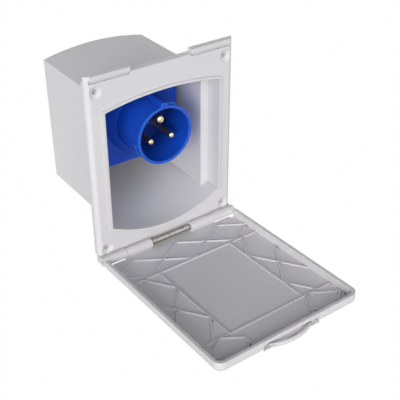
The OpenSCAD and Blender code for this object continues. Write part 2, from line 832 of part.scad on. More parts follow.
housing();
lid();
hinge_pin();
lid_spring();
inlet_body();
contact_carrier();
contact(0);  // earth_pin
contact(2);  // line_pin
contact(1);  // neutral_pin
terminal_screw(0);  // earth_terminal_screw
terminal_screw(2);  // line_terminal_screw
terminal_screw(1);  // neutral_terminal_screw
inlet_screw(-1, 1);  // inlet_screw_1
inlet_screw(1, 1);  // inlet_screw_2
inlet_screw(-1, -1);  // inlet_screw_3
inlet_screw(1, -1);  // inlet_screw_4
gland_washer();
gland_body();
gland_locknut();
gland_seal();
gland_cap();
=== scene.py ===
"""Looks for a flush mains inlet: grey mouldings, a blue inlet, brass contacts and a sprung lid."""

import json
import math
from collections import namedtuple

import bmesh
import bpy
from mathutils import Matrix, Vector

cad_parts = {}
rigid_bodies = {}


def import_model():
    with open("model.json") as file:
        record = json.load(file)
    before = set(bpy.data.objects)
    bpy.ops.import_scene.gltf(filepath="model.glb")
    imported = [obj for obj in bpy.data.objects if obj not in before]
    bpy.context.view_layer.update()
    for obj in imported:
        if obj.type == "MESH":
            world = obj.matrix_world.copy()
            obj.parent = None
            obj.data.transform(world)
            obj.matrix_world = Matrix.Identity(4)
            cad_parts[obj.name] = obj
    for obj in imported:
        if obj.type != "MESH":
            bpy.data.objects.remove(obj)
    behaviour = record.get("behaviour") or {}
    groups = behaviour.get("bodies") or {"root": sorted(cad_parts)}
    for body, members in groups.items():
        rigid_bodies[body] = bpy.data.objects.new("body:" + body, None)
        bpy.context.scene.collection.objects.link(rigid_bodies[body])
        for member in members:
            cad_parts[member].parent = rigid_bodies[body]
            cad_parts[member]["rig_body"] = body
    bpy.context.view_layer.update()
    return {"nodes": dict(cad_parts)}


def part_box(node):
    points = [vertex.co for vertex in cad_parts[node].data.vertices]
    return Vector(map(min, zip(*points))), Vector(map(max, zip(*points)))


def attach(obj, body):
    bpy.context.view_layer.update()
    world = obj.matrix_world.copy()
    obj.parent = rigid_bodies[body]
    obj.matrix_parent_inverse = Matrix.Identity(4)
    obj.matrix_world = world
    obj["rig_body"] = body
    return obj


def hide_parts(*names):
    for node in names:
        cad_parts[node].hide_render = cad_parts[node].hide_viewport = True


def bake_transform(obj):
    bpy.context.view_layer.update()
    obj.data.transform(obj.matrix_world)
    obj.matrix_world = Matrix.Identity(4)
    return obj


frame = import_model()

bl_info = {
    "name": "Mains inlet looks",
    "version": (1, 0, 0),
    "blender": (4, 5, 0),
    "location": "View3D > Sidebar > Inlet",
    "description": "Dresses the mains inlet with moulded detail, a wound spring and finishes",
    "category": "Object",
}

MM = 0.001
ACROSS, ALONG, UP = Vector((1, 0, 0)), Vector((0, 1, 0)), Vector((0, 0, 1))

# How far the open lid rises from level towards its free edge.
LID_TILT = math.radians(2.3)

# Points nearer than this are one: in a solid's loose triangles, and where a cut has left two.
SAME_POINT = 0.001 * MM
CUT_POINT = 0.01 * MM

# Cosines of the turn up to which two faces look round together, and up to which they are one face.
ROUND_TURN = 0.95
SAME_FACE = 0.999


class InletSizes(bpy.types.PropertyGroup):
    """Sizes of the detail that the looks add to the solids."""

    shell_edge: bpy.props.FloatProperty(
        name="Shell edge",
        description="Edge radius of the grey mouldings",
        default=0.45 * MM,
        unit="LENGTH",
    )
    inlet_edge: bpy.props.FloatProperty(
        name="Inlet edge",
        description="Edge radius of the blue moulding",
        default=0.35 * MM,
        unit="LENGTH",
    )
    gland_edge: bpy.props.FloatProperty(
        name="Gland edge",
        description="Edge radius of the cable gland's pieces",
        default=0.3 * MM,
        unit="LENGTH",
    )
    screw_edge: bpy.props.FloatProperty(
        name="Screw edge",
        description="Edge radius of screw heads",
        default=0.15 * MM,
        unit="LENGTH",
    )
    wire: bpy.props.FloatProperty(
        name="Spring wire",
        description="Diameter of the spring's wire",
        default=0.8 * MM,
        unit="LENGTH",
    )
    coil: bpy.props.FloatProperty(
        name="Spring coil",
        description="Mean diameter of the spring's coil",
        default=4.3 * MM,
        unit="LENGTH",
    )
    turns: bpy.props.IntProperty(
        name="Spring turns",
        description="Turns in the spring's coil",
        default=46,
        min=4,
    )


class InletFinishes(bpy.types.PropertyGroup):
    """Colours of the materials, as linear values."""

    grey: bpy.props.FloatVectorProperty(
        name="Grey moulding",
        description="Colour of the housing and the lid",
        default=(0.745, 0.735, 0.75),
        subtype="COLOR",
        size=3,
    )
    blue: bpy.props.FloatVectorProperty(
        name="Blue moulding",
        description="Colour of the inlet's flange and shroud",
        default=(0.008, 0.080, 0.60),
        subtype="COLOR",
        size=3,
    )
    # Painted highlight: the paler blue laid along the inlet's edges, where light catches them.
    blue_edge_highlight: bpy.props.FloatVectorProperty(
        name="Blue edge",
        description="Colour of the inlet's rubbed edges",
        default=(0.028, 0.16, 0.72),
        subtype="COLOR",
        size=3,
    )
    brass: bpy.props.FloatVectorProperty(
        name="Brass",
        description="Colour of the contact pins",
        default=(0.83, 0.66, 0.40),
        subtype="COLOR",
        size=3,
    )
    spring: bpy.props.FloatVectorProperty(
        name="Spring steel",
        description="Colour of the hinge pin and the spring",
        default=(0.50, 0.47, 0.44),
        subtype="COLOR",
        size=3,
    )
    zinc: bpy.props.FloatVectorProperty(
        name="Zinc plate",
        description="Colour of the screws",
        default=(0.62, 0.63, 0.65),
        subtype="COLOR",
        size=3,
    )
    stain: bpy.props.FloatVectorProperty(
        name="Brass stain",
        description="Colour of the contact pins where they have dulled",
        default=(0.55, 0.40, 0.20),
        subtype="COLOR",
        size=3,
    )
    black: bpy.props.FloatVectorProperty(
        name="Black moulding",
        description="Colour of the contact carrier",
        default=(0.035, 0.035, 0.038),
        subtype="COLOR",
        size=3,
    )
    pale: bpy.props.FloatVectorProperty(
        name="Pale moulding",
        description="Colour of the cable gland's plastic pieces",
        default=(0.58, 0.58, 0.57),
        subtype="COLOR",
        size=3,
    )
    rubber: bpy.props.FloatVectorProperty(
        name="Black rubber",
        description="Colour of the cable gland's washer and seal",
        default=(0.022, 0.022, 0.022),
        subtype="COLOR",
        size=3,
    )


class InletStage(bpy.types.PropertyGroup):
    """Camera, light and floor."""

    target: bpy.props.FloatVectorProperty(
        name="Target",
        description="Point that the camera looks at",
        default=(33.87 * MM, -6.5 * MM, -57.21 * MM),
        subtype="XYZ",
        size=3,
    )
    azimuth: bpy.props.FloatProperty(
        name="Azimuth",
        description="Camera's place round the object, from the front",
        default=math.radians(-35.82),
        subtype="ANGLE",
    )
    elevation: bpy.props.FloatProperty(
        name="Elevation",
        description="Camera's height above level",
        default=math.radians(33.12),
        subtype="ANGLE",
    )
    distance: bpy.props.FloatProperty(
        name="Distance",
        description="Camera's distance from its target",
        default=680.3 * MM,
        unit="LENGTH",
    )
    lens: bpy.props.FloatProperty(
        name="Lens",
        description="Focal length in millimetres on a 36 mm frame",
        default=71.52,
    )
    front: bpy.props.FloatProperty(
        name="Front light",
        description="Strength of the high soft light from the front",
        default=1.3,
    )
    corner: bpy.props.FloatProperty(
        name="Corner light",
        description="Strength of the low soft light from the front left",
        default=1.4,
    )
    side: bpy.props.FloatProperty(
        name="Side light",
        description="Strength of the low soft light from the left",
        default=0.65,
    )
    back: bpy.props.FloatProperty(
        name="Back light",
        description="Strength of the low soft light from behind",
        default=0.85,
    )
    ambient: bpy.props.FloatProperty(
        name="Ambient",
        description="Brightness of the surroundings",
        default=0.13,
    )
    floor: bpy.props.FloatProperty(
        name="Floor",
        description="Height of the floor",
        default=-420 * MM,
        unit="LENGTH",
    )


class Signal:
    """A node's output, so that shader maths reads as plain expressions."""

    def __init__(self, finish, socket):
        self.finish = finish
        self.socket = socket

    def maths(self, operation, first, second):
        """One Math node."""
        return self.finish.node("ShaderNodeMath", {"operation": operation}, {0: first, 1: second})

    def __add__(self, other):
        return self.maths("ADD", self, other)

    def __radd__(self, other):
        return self.maths("ADD", other, self)

    def __sub__(self, other):
        return self.maths("SUBTRACT", self, other)

    def __rsub__(self, other):
        return self.maths("SUBTRACT", other, self)

    def __mul__(self, other):
        return self.maths("MULTIPLY", self, other)

    def __rmul__(self, other):
        return self.maths("MULTIPLY", other, self)


class Finish:
    """The shader nodes of a material, or of the world, built one expression at a time."""

    edge_samples, corner_samples = 6, 10

    def __init__(self, name, owner=None):
        self.owner = owner or bpy.data.materials.new(name)
        self.owner.use_nodes = True
        self.tree = self.owner.node_tree
        self.tree.nodes.clear()

    def node(self, kind, settings=None, inputs=None, output=0):
        """Adds one node: its settings first, then the values or links of its sockets."""
        made = self.tree.nodes.new(kind)
        for key, value in (settings or {}).items():
            setattr(made, key, value)
        for key, value in (inputs or {}).items():
            if isinstance(value, Signal):
                self.tree.links.new(value.socket, made.inputs[key])
            else:
                made.inputs[key].default_value = value
        return Signal(self, made.outputs[output]) if made.outputs else None

    def place(self, scale):
        """Object coordinates, stretched."""
        here = self.node("ShaderNodeTexCoord", output="Object")
        return self.node("ShaderNodeMapping", None, {"Vector": here, "Scale": scale})

    def noise(self, scale, detail=2.0, rough=0.5, place=None):
        """Soft random patches, about scale of them to a metre of the place that is given."""
        where = place or self.node("ShaderNodeTexCoord", output="Object")
        return self.node(
            "ShaderNodeTexNoise",
            None,
            {"Vector": where, "Scale": scale, "Detail": detail, "Roughness": rough},
        )

    def ramp(self, value, low, high):
        """0 below low, 1 above high."""
        return self.node(
            "ShaderNodeMapRange",
            {"interpolation_type": "SMOOTHSTEP"},
            {"Value": value, "From Min": low, "From Max": high},
        )

    def mix(self, factor, first, second):
        """Mixes two colours."""
        return self.node(
            "ShaderNodeMix",
            {"data_type": "RGBA"},
            {0: factor, 6: colour(first), 7: colour(second)},
            output=2,
        )

    def bump(self, height, strength, distance, edge=0.0):
        """Grain on the surface, over edges that are softened to a radius where one is given."""
        sockets = {"Height": height, "Strength": strength, "Distance": distance}
        if edge:
            sockets["Normal"] = self.node(
                "ShaderNodeBevel", {"samples": self.edge_samples}, {"Radius": edge}
            )
        return self.node("ShaderNodeBump", None, sockets)

    def corners(self, reach):
        """1 in tight corners, falling to 0 where nothing stands within reach."""
        return 1 - self.occlusion(reach)

    def crannies(self, reach):
        """As corners, with the neighbouring pieces counted."""
        return 1 - self.occlusion(reach, local=False)

    def edges(self, reach):
        """1 where the wall is thin or turns a sharp outer edge, 0 on broad faces."""
        return 1 - self.occlusion(reach, inside=True)

    def occlusion(self, reach, inside=False, local=True):
        """How open the surface is within reach, from 0 to 1."""
        return self.node(
            "ShaderNodeAmbientOcclusion",
            {"samples": self.corner_samples, "only_local": local, "inside": inside},
            {"Distance": reach},
            output="AO",
        )

    def seen(self):
        """1 for rays that show the background: from the camera, off a mirror or through glass."""
        rays = ("Is Camera Ray", "Is Glossy Ray", "Is Transmission Ray")
        straight, mirrored, through = (self.node("ShaderNodeLightPath", output=ray) for ray in rays)
        return straight + mirrored + through

    def surface(self, **sockets):
        """The Principled shader and the material's output; underscores stand for spaces."""
        named = {key.replace("_", " "): value for key, value in sockets.items()}
        shader = self.node("ShaderNodeBsdfPrincipled", None, named)
        self.node("ShaderNodeOutputMaterial", None, {"Surface": shader})
        return self.owner


def colour(value):
    """A colour socket's value, with its alpha, or a link as it is."""
    return value if isinstance(value, Signal) else (*tuple(value)[:3], 1.0)


def shade(value, factor):
    """A colour made lighter or darker."""
    return tuple(min(1.0, c * factor) for c in tuple(value)[:3])


def finishes():
    """The colours that the scene holds."""
    return bpy.context.scene.inlet_finishes


def sizes():
    """The sizes that the scene holds."""
    return bpy.context.scene.inlet_sizes


def grey_moulding(edge):
    """Light grey plastic from a finely etched mould, with painted shade that darkens its tight
    corners.
    """
    f, grey = Finish("grey_moulding"), finishes().grey
    cloud = f.noise(9.0, detail=3.0)
    speck = f.noise(420.0)
    etched = f.noise(2600.0, rough=0.6)
    # Painted shade: the colour is darkened in tight corners and recesses, where shade falls.
    painted_corner_shade = f.ramp(f.corners(3 * MM), 0.28, 0.95)
    tint = f.mix(f.ramp(cloud, 0.35, 0.7), grey, shade(grey, 0.965))
    tint = f.mix(f.ramp(speck, 0.62, 0.8) * 0.35, tint, shade(grey, 0.93))
    tint = f.mix(painted_corner_shade, tint, shade(grey, 0.42))
    return f.surface(
        Base_Color=tint,
        Roughness=0.40 + 0.10 * cloud + 0.08 * etched,
        Specular_IOR_Level=0.25,
        Normal=f.bump(etched, 0.10, 0.06 * MM, edge),
    )


def blue_moulding(edge):
    """Glossy blue plastic, with painted shade that darkens its hollows and a painted highlight that
    makes its outer edges paler.
    """
    f, blue = Finish("blue_moulding"), finishes().blue
    flow = f.noise(60.0, detail=3.0, rough=0.55, place=f.place((1, 0.25, 1)))
    fine = f.noise(1800.0)
    # Painted shade: the blue is darkened inside the shroud and other deep hollows, where shade
    # falls.
    painted_hollow_shade = f.ramp(f.corners(30 * MM), 0.12, 0.55)
    # Painted highlight: a paler blue is laid along thin walls and sharp outer edges, where light
    # catches them.
    painted_edge_highlight = f.ramp(f.edges(1.6 * MM), 0.16, 0.5)
    tint = f.mix(f.ramp(flow, 0.3, 0.75), shade(blue, 0.92), shade(blue, 1.1))
    tint = f.mix(painted_hollow_shade, tint, shade(blue, 0.38))
    tint = f.mix(painted_edge_highlight, tint, finishes().blue_edge_highlight)
    return f.surface(
        Base_Color=tint,
        Roughness=0.28 + 0.10 * flow,
        Specular_IOR_Level=0.3,
        Coat_Weight=0.04 + 0.04 * fine,
        Coat_Roughness=0.2,
        Normal=f.bump(fine, 0.06, 0.05 * MM, edge),
    )


def turned_brass():
    """Turned brass with fine rings round the pins and a few dull patches."""
    f = Finish("turned_brass")
    rings = f.noise(1.0, place=f.place((40, 5200, 40)))
    dull = f.noise(170.0, detail=3.0)
    tint = f.mix(f.ramp(dull, 0.45, 0.75) * 0.5, finishes().brass, finishes().stain)
    return f.surface(
        Base_Color=tint,
        Metallic=1.0,
        Roughness=0.2 + 0.14 * rings + 0.08 * dull,
        Normal=f.bump(rings, 0.12, 0.05 * MM),
    )


def drawn_steel():
    """Dark drawn wire with a dull film of oil, with painted shade that is darkest between the turns
    and beside the neighbouring pieces.
    """
    f, steel = Finish("drawn_steel"), finishes().spring
    film = f.noise(240.0, detail=3.0)
    drawn = f.noise(1.0, place=f.place((300, 4200, 4200)))
    # Painted shade: the wire is darkened between its turns and where the knuckles, plate and lid
    # crowd it, where shade falls.
    between = f.ramp(f.crannies(6 * MM), 0.3, 0.75)
    tint = f.mix(f.ramp(film, 0.4, 0.7), steel, shade(steel, 0.75))
    tint = f.mix(between, tint, shade(steel, 0.16))
    return f.surface(
        Base_Color=tint,
        Metallic=1.0,
        Roughness=0.42 + 0.2 * film,
        Normal=f.bump(drawn, 0.1, 0.04 * MM),
    )


def zinc_plate(edge):
    """Zinc-plated steel with a faint mottle."""
    f, zinc = Finish("zinc_plate"), finishes().zinc
    mottle = f.noise(700.0)
    return f.surface(
        Base_Color=f.mix(f.ramp(mottle, 0.35, 0.7), zinc, shade(zinc, 0.86)),
        Metallic=1.0,
        Roughness=0.24 + 0.16 * mottle,
        Normal=f.bump(mottle, 0.05, 0.03 * MM, edge),
    )


def plain_moulding(name, base, rough, edge):
    """A moulded plastic or rubber with a fine grain and soft edges."""
    f = Finish(name)
    cloud = f.noise(40.0, detail=3.0)
    grain = f.noise(2200.0)
    return f.surface(
        Base_Color=f.mix(f.ramp(cloud, 0.3, 0.7), base, shade(base, 0.88)),
        Roughness=rough + 0.12 * grain,
        Normal=f.bump(grain, 0.12, 0.06 * MM, edge),
    )


def body_of(node):
    """The body that a CAD node rides on."""
    return frame["nodes"][node]["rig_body"]


def paint(mesh, material):
    """Gives a mesh its one material."""
    mesh.materials.clear()
    mesh.materials.append(material)


def dress(material, *nodes):
    """Gives CAD nodes their material."""
    for node in nodes:
        paint(frame["nodes"][node].data, material)


def as_mesh(piece, name):
    """The piece with its modifiers worked into a plain mesh of its own."""
    graph = bpy.context.evaluated_depsgraph_get()
    mesh = bpy.data.meshes.new_from_object(
        piece.evaluated_get(graph), preserve_all_data_layers=True, depsgraph=graph
    )
    mesh.name = name
    piece.modifiers.clear()
    old = piece.data
    piece.data = mesh
    bpy.data.meshes.remove(old)
    return piece


def merged_copy(node, name):
    """A copy of a CAD node's mesh with its loose triangles joined."""
    shape = bmesh.new()
    shape.from_mesh(frame["nodes"][node].data)
    bmesh.ops.remove_doubles(shape, verts=shape.verts, dist=SAME_POINT)
    return linked(name, shape)


def linked(name, shape):
    """An object of its own from a bmesh."""
    mesh = bpy.data.meshes.new(name)
    shape.to_mesh(mesh)
    shape.free()
    piece = bpy.data.objects.new(name, mesh)
    bpy.context.scene.collection.objects.link(piece)
    return piece


def lofted(name, outlines):
    """A solid through a row of outlines that have the same number of points."""
    shape = bmesh.new()
    rings = [[shape.verts.new(point) for point in outline] for outline in outlines]
    shape.faces.new(rings[0])
    shape.faces.new(rings[-1])
    for near, far in zip(rings, rings[1:]):
        for i in range(len(near)):
            k = (i + 1) % len(near)
            shape.faces.new((near[i], near[k], far[k], far[i]))
    bmesh.ops.recalc_face_normals(shape, faces=shape.faces)
    bmesh.ops.triangulate(shape, faces=shape.faces)
    return linked(name, shape)


def prism(name, outline, start, run):
    """A solid from a flat outline of points, moved along run from start."""
    near = [start + point for point in outline]
    return lofted(name, [near, [point + run for point in near]])


def block(name, low, high, across=ACROSS, along=ALONG, up=UP, origin=Vector()):
    """A box between two corners, given in millimetres along three directions."""
    start = origin + (low[0] * across + low[1] * along + low[2] * up) * MM
    wide, long, tall = [(b - a) * MM for a, b in zip(low, high)]
    outline = [Vector(), wide * across, wide * across + long * along, long * along]
    return prism(name, outline, start, tall * up)


def shaped(node, name, added, cut):
    """A copy of a CAD node with solids joined to it and others cut out of it."""
    piece = merged_copy(node, name)
    for solids, operation in ((added, "UNION"), (cut, "DIFFERENCE")):
        for solid in solids:
            step = piece.modifiers.new(solid.name, "BOOLEAN")
            step.operation = operation
            step.solver = "EXACT"
            step.object = solid
    as_mesh(piece, name)
    for solid in (*added, *cut):
        bpy.data.meshes.remove(solid.data)
    without_slivers(piece.data)
    keep_curves(piece.data, frame["nodes"][node].data)
    return piece


def without_slivers(mesh):
    """Takes out the edges and faces of no size that cutting leaves behind."""
    shape = bmesh.new()
    shape.from_mesh(mesh)
    bmesh.ops.remove_doubles(shape, verts=shape.verts, dist=CUT_POINT)
    bmesh.ops.triangulate(shape, faces=shape.faces)
    bmesh.ops.dissolve_degenerate(shape, dist=CUT_POINT, edges=shape.edges)
    shape.to_mesh(mesh)
    shape.free()


def keep_curves(mesh, source):
    """Gives a mesh the smooth normals of its source, and softens the faces that are new."""

    def place(model, corner):
        """A corner's place as whole steps, so that it can be looked up."""
        spot = model.vertices[model.loops[corner].vertex_index].co
        return tuple(round(c / CUT_POINT) for c in spot)

    least_area = 1e-12  # keeps a normal where all the faces round a point have no size
    known = {}
    for face in source.polygons:
        for corner in face.loop_indices:
            found = (face.normal.copy(), source.corner_normals[corner].vector.copy())
            known.setdefault(place(source, corner), []).append(found)
    round_point = {}
    for face in mesh.polygons:
        for point in face.vertices:
            round_point.setdefault(point, []).append((face.normal.copy(), face.area))

    def softened(normal, point):
        """The mean of the faces round a point that turn little from this one."""
        faces = round_point[point]
        near = (turned * area for turned, area in faces if turned.dot(normal) > ROUND_TURN)
        return sum(near, normal * least_area).normalized()

    normals = [None] * len(mesh.loops)
    for face in mesh.polygons:
        for corner in face.loop_indices:
            normals[corner] = softened(face.normal, mesh.loops[corner].vertex_index)
            near = known.get(place(mesh, corner), [])
            best = max(near, key=lambda found: found[0].dot(face.normal), default=None)
            if best and best[0].dot(face.normal) > SAME_FACE:
                normals[corner] = best[1]
    mesh.shade_smooth()
    mesh.normals_split_custom_set(normals)


def wire_tree(name):
    """Geometry nodes that sweep a round wire along the edges of a path."""
    tree = bpy.data.node_groups.new(name, "GeometryNodeTree")
    sockets = tree.interface
    sockets.new_socket("Path", in_out="INPUT", socket_type="NodeSocketGeometry")
    thick = sockets.new_socket("Wire diameter", in_out="INPUT", socket_type="NodeSocketFloat")
    sides = sockets.new_socket("Sides", in_out="INPUT", socket_type="NodeSocketInt")
    metal = sockets.new_socket("Material", in_out="INPUT", socket_type="NodeSocketMaterial")
    sockets.new_socket("Wire", in_out="OUTPUT", socket_type="NodeSocketGeometry")
    nodes = tree.nodes
    given = nodes.new("NodeGroupInput")
    result = nodes.new("NodeGroupOutput")
    to_curve = nodes.new("GeometryNodeMeshToCurve")
    ring = nodes.new("GeometryNodeCurvePrimitiveCircle")
    half = nodes.new("ShaderNodeMath")
    half.operation = "MULTIPLY"
    half.inputs[1].default_value = 0.5
    sweep = nodes.new("GeometryNodeCurveToMesh")
    sweep.inputs["Fill Caps"].default_value = True
    smooth = nodes.new("GeometryNodeSetShadeSmooth")
    real = nodes.new("GeometryNodeRealizeInstances")
    coat = nodes.new("GeometryNodeSetMaterial")
    links = (
        (given, "Path", to_curve, "Mesh"),
        (given, "Wire diameter", half, 0),
        (half, 0, ring, "Radius"),
        (given, "Sides", ring, "Resolution"),
        (to_curve, "Curve", sweep, "Curve"),
        (ring, "Curve", sweep, "Profile Curve"),
        (sweep, "Mesh", smooth, "Geometry"),
        (smooth, "Geometry", real, "Geometry"),
        (real, "Geometry", coat, "Geometry"),
        (given, "Material", coat, "Material"),
        (coat, "Geometry", result, "Wire"),
    )
    for giver, output, taker, entry in links:
        tree.links.new(giver.outputs[output], taker.inputs[entry])
    return tree, thick.identifier, sides.identifier, metal.identifier


def swept_wire(name, points, diameter, sides, material):
    """A round wire along a list of points, made by the wire tree."""
    mesh = bpy.data.meshes.new(name)
    mesh.from_pydata(points, [(i, i + 1) for i in range(len(points) - 1)], [])
    piece = bpy.data.objects.new(name, mesh)
    bpy.context.scene.collection.objects.link(piece)
    tree, thick, round_sides, metal = wire_tree(name + "_sweep")
    sweep = piece.modifiers.new("wire", "NODES")
    sweep.node_group = tree
    sweep[thick] = diameter
    sweep[round_sides] = sides
    sweep[metal] = material
    return as_mesh(piece, name)


def quarter(steps):
    """The angles of a quarter turn, in even steps from 0."""
    return [math.radians(90 * i / steps) for i in range(steps + 1)]


class INLET_OT_stage(bpy.types.Operator):
    """Sets the camera at the photograph's angle, the soft light and the pale floor"""

    bl_idname = "inlet.stage"
    bl_label = "Stage"

    # Each lamp's place round the object, its height and its softness, in degrees.
    lamps = {
        "front": (-12, 26, 60),
        "corner": (-50, 15, 26),
        "side": (-90, 8, 50),
        "back": (150, 0, 50),
    }
    white, sky = (1.0, 1.0, 1.0, 1.0), (0.97, 0.98, 1.0, 1.0)
    paper_dark, paper_light = (0.86, 0.86, 0.86), (0.9, 0.9, 0.9)

    # The floor's half width in metres, and the share of plain white in what is seen of it.
    floor_half, floor_white = 6.0, 0.995

    def execute(self, context):
        stage = context.scene.inlet_stage
        self.camera(context, stage)
        for name, angles in self.lamps.items():
            self.lamp(context, name, getattr(stage, name), *map(math.radians, angles))
        self.surroundings(context, stage)
        self.floor(context, stage)
        context.scene.view_settings.view_transform = "Standard"
        return {"FINISHED"}

    @staticmethod
    def stand(context, name, data, azimuth, elevation):
        """Adds a camera or lamp that looks in from round the object; gives the way to it too."""
        level = math.cos(elevation)
        way = Vector((math.sin(azimuth) * level, -math.cos(azimuth) * level, math.sin(elevation)))
        added = bpy.data.objects.new(name, data)
        context.scene.collection.objects.link(added)
        added.rotation_mode = "QUATERNION"
        added.rotation_quaternion = (-way).to_track_quat("-Z", "Y")
        return added, way

    def camera(self, context, stage):
        """The camera, at the photograph's angle and distance."""
        data = bpy.data.cameras.new("camera")
        data.sensor_width = 36.0
        data.lens = stage.lens
        data.clip_start, data.clip_end = 0.01, 20.0
        camera, way = self.stand(context, "camera", data, stage.azimuth, stage.elevation)
        camera.location = Vector(stage.target) + way * stage.distance
        context.scene.camera = camera

    def lamp(self, context, name, strength, azimuth, elevation, softness):
        """A soft light that is the same all over the object."""
        data = bpy.data.lights.new(name, "SUN")
        data.energy = strength
        data.angle = softness
        self.stand(context, name, data, azimuth, elevation)

    def surroundings(self, context, stage):
        """White all round to the eye, with little light of its own."""
        world = context.scene.world or bpy.data.worlds.new("world")
        context.scene.world = world
        f = Finish(world.name, world)
        dim = {"Color": self.sky, "Strength": stage.ambient}
        lit = f.node("ShaderNodeBackground", None, dim)
        plain = f.node("ShaderNodeBackground", None, {"Color": self.white, "Strength": 1.0})
        shader = f.node("ShaderNodeMixShader", None, {0: f.seen(), 1: lit, 2: plain})
        f.node("ShaderNodeOutputWorld", None, {"Surface": shader})

    def floor(self, context, stage):
        """A wide sheet of pale paper below the object."""
        half = self.floor_half
        corners = [(-half, -half), (half, -half), (half, half), (-half, half)]
        mesh = bpy.data.meshes.new("floor")
        mesh.from_pydata([(x, y, stage.floor) for x, y in corners], [], [(0, 1, 2, 3)])
        floor = bpy.data.objects.new("floor", mesh)
        context.scene.collection.objects.link(floor)
        f = Finish("pale_floor")
        cloud = f.mix(f.noise(1.2), self.paper_dark, self.paper_light)
        paper = f.node("ShaderNodeBsdfDiffuse", None, {"Color": cloud})
        plain = f.node("ShaderNodeEmission", None, {"Color": self.white, "Strength": 1.0})
        share = f.seen() * self.floor_white
        shader = f.node("ShaderNodeMixShader", None, {0: share, 1: paper, 2: plain})
        f.node("ShaderNodeOutputMaterial", None, {"Surface": shader})
        paint(mesh, f.owner)


class Section(namedtuple("Section", "depth half end sag ease own", defaults=(1, None))):
    """One section of a sagging floor, in millimetres.

    depth is its place behind the wall face, half the half width of the sag, end the height of the
    sag's ends, and sag how far its middle lies below them. ease is 1 for a plain bow, and up to 2
    for one that runs out level. own is a half width of its own, for level strips beside the sag."""

    steps = 64

    def ring(self, top):
        """The outline of the section, from its sagging bottom up to a level top."""
        wide = self.own or self.half
        line = [wide * (2 * i / self.steps - 1) for i in range(self.steps + 1)]
        points = [(x, self.height(x)) for x in line]
        points += [(wide, top), (-wide, top)]
        return [Vector((x, self.depth, z)) * MM for x, z in points]

    def height(self, x):
        """The bottom's height at a place across it."""
        return self.end - self.sag * max(0, 1 - (x / self.half) ** 2) ** self.ease


# Half widths, a hair inside the solid's own, so that no cut runs along a face.
OPENING, RIM, COLLAR, BOX_OUTSIDE, BOX_INSIDE = 52.35, 54.35, 55.55, 47.35, 44.15

# What hangs under the opening, from front to back, and what is cut free above it.
SAGS_UNDER = {
    "rim_under": (
        Section(depth=-7.9, half=RIM, end=-52, sag=15.3),
        Section(depth=-6.4, half=RIM, end=-52, sag=15.3),
    ),
    "collar_under": (
        Section(depth=-0.05, half=COLLAR, end=-54, sag=14.2),
        Section(depth=10.15, half=COLLAR, end=-54, sag=14.2),
    ),
    "box_under": (
        Section(depth=5, half=BOX_OUTSIDE, end=-54.9, sag=11.5),
        Section(depth=50, half=BOX_OUTSIDE, end=-54.6, sag=5.3),
        Section(depth=100.1, half=BOX_OUTSIDE, end=-54.6, sag=5.3),
    ),
}
SAGS_ABOVE = {
    "way_in": (
        Section(depth=-8.5, half=OPENING, end=-50.8, sag=14.5),
        Section(depth=6.95, half=BOX_INSIDE, end=-52.6, sag=11, own=OPENING),
    ),
    "box_floor": (
        Section(depth=6.9, half=BOX_INSIDE, end=-52.6, sag=11),
        Section(depth=40, half=BOX_INSIDE, end=-51.8, sag=6, ease=1.6),
        Section(depth=96.95, half=BOX_INSIDE, end=-52, sag=4.8, ease=2),
    ),
}


